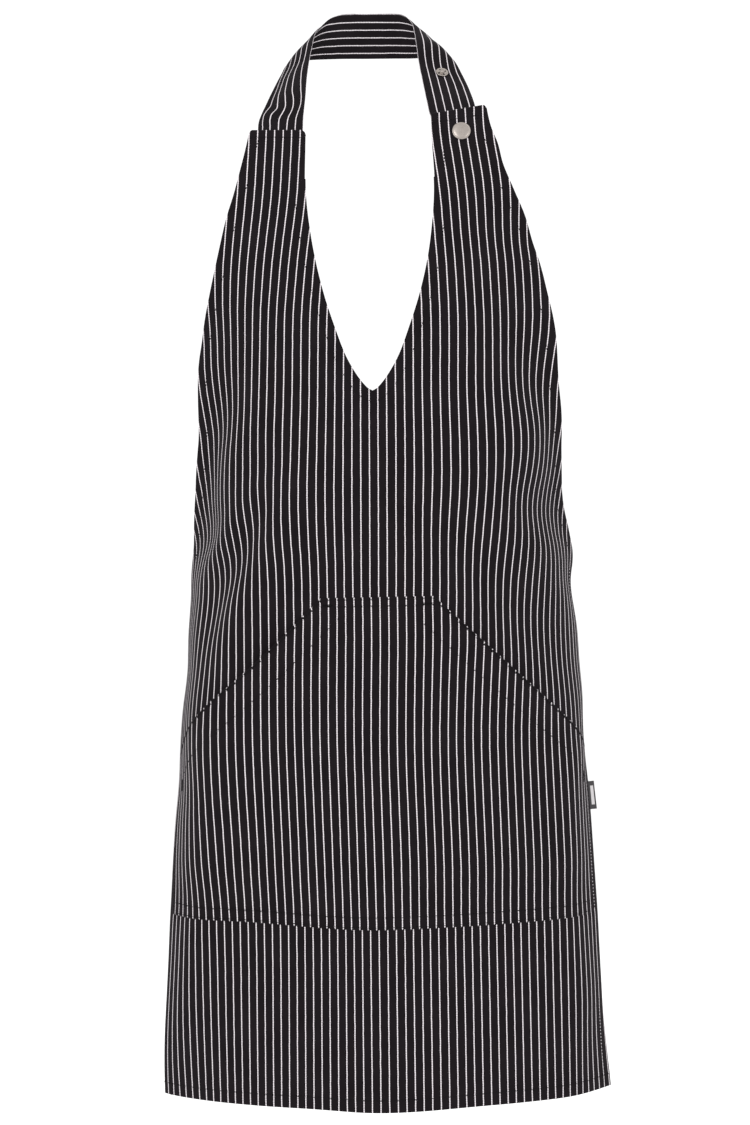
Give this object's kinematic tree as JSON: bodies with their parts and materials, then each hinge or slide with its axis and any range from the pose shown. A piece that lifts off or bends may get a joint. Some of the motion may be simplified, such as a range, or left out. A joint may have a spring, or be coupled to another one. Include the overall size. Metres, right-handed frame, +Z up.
{
  "type": "halter apron",
  "caption": "Striped halter apron with a V neck, a press-stud neck strap, a full-width pouch pocket and waist ties tied in a bow behind.",
  "frame": {"origin": "middle of the neck strap at the back of the neck, where it hangs", "axes": "+X to the viewer's right, +Y to the back, away from the pocket, +Z up"},
  "size_m": [0.4198, 0.2381, 1.0304],
  "materials": {
    "striped_cloth": "black twill with fine white stripes",
    "tie_cloth": "black twill with fine white stripes, folded",
    "thread": "black sewing thread",
    "label_tape": "plain woven tape",
    "satin_nickel": "satin nickel plate"
  },
  "bodies": {
    "apron": {"front_panel": "striped_cloth", "neck_facing_left": "striped_cloth", "neck_facing_right": "striped_cloth", "pocket_panel": "striped_cloth", "pocket_facing_left": "striped_cloth", "pocket_facing_right": "striped_cloth", "pocket_bartacks": "thread", "snap_cap": "satin_nickel", "snap_socket": "satin_nickel"},
    "strap": {"neck_strap": "striped_cloth", "strap_studs": "satin_nickel", "stud_backs": "satin_nickel"},
    "tie_left": {"waist_tie_left": "tie_cloth", "tie_knot": "tie_cloth", "bow_loop_left": "tie_cloth", "tie_end_left": "tie_cloth"},
    "tie_right": {"waist_tie_right": "tie_cloth", "bow_loop_right": "tie_cloth", "tie_end_right": "tie_cloth"},
    "label": {"side_label": "label_tape"}
  },
  "joints": [
    {"name": "strap_open", "type": "hinge", "parent": "apron", "child": "strap", "pos_m": [-0.1045, -0.1134, -0.12], "axis": [0, 0, 1], "range_deg": [0, 100]},
    {"name": "tie_left_open", "type": "hinge", "parent": "apron", "child": "tie_left", "pos_m": [-0.17795, -0.04406, -0.52], "axis": [0, 0, 1], "range_deg": [0, 90]},
    {"name": "tie_right_open", "type": "hinge", "parent": "apron", "child": "tie_right", "pos_m": [0.17795, -0.04406, -0.52], "axis": [0, 0, -1], "range_deg": [0, 90]},
    {"name": "label_flap", "type": "hinge", "parent": "apron", "child": "label", "pos_m": [0.19501, -0.06585, -0.735], "axis": [0, 0, 1], "range_deg": [0, 50]}
  ]
}
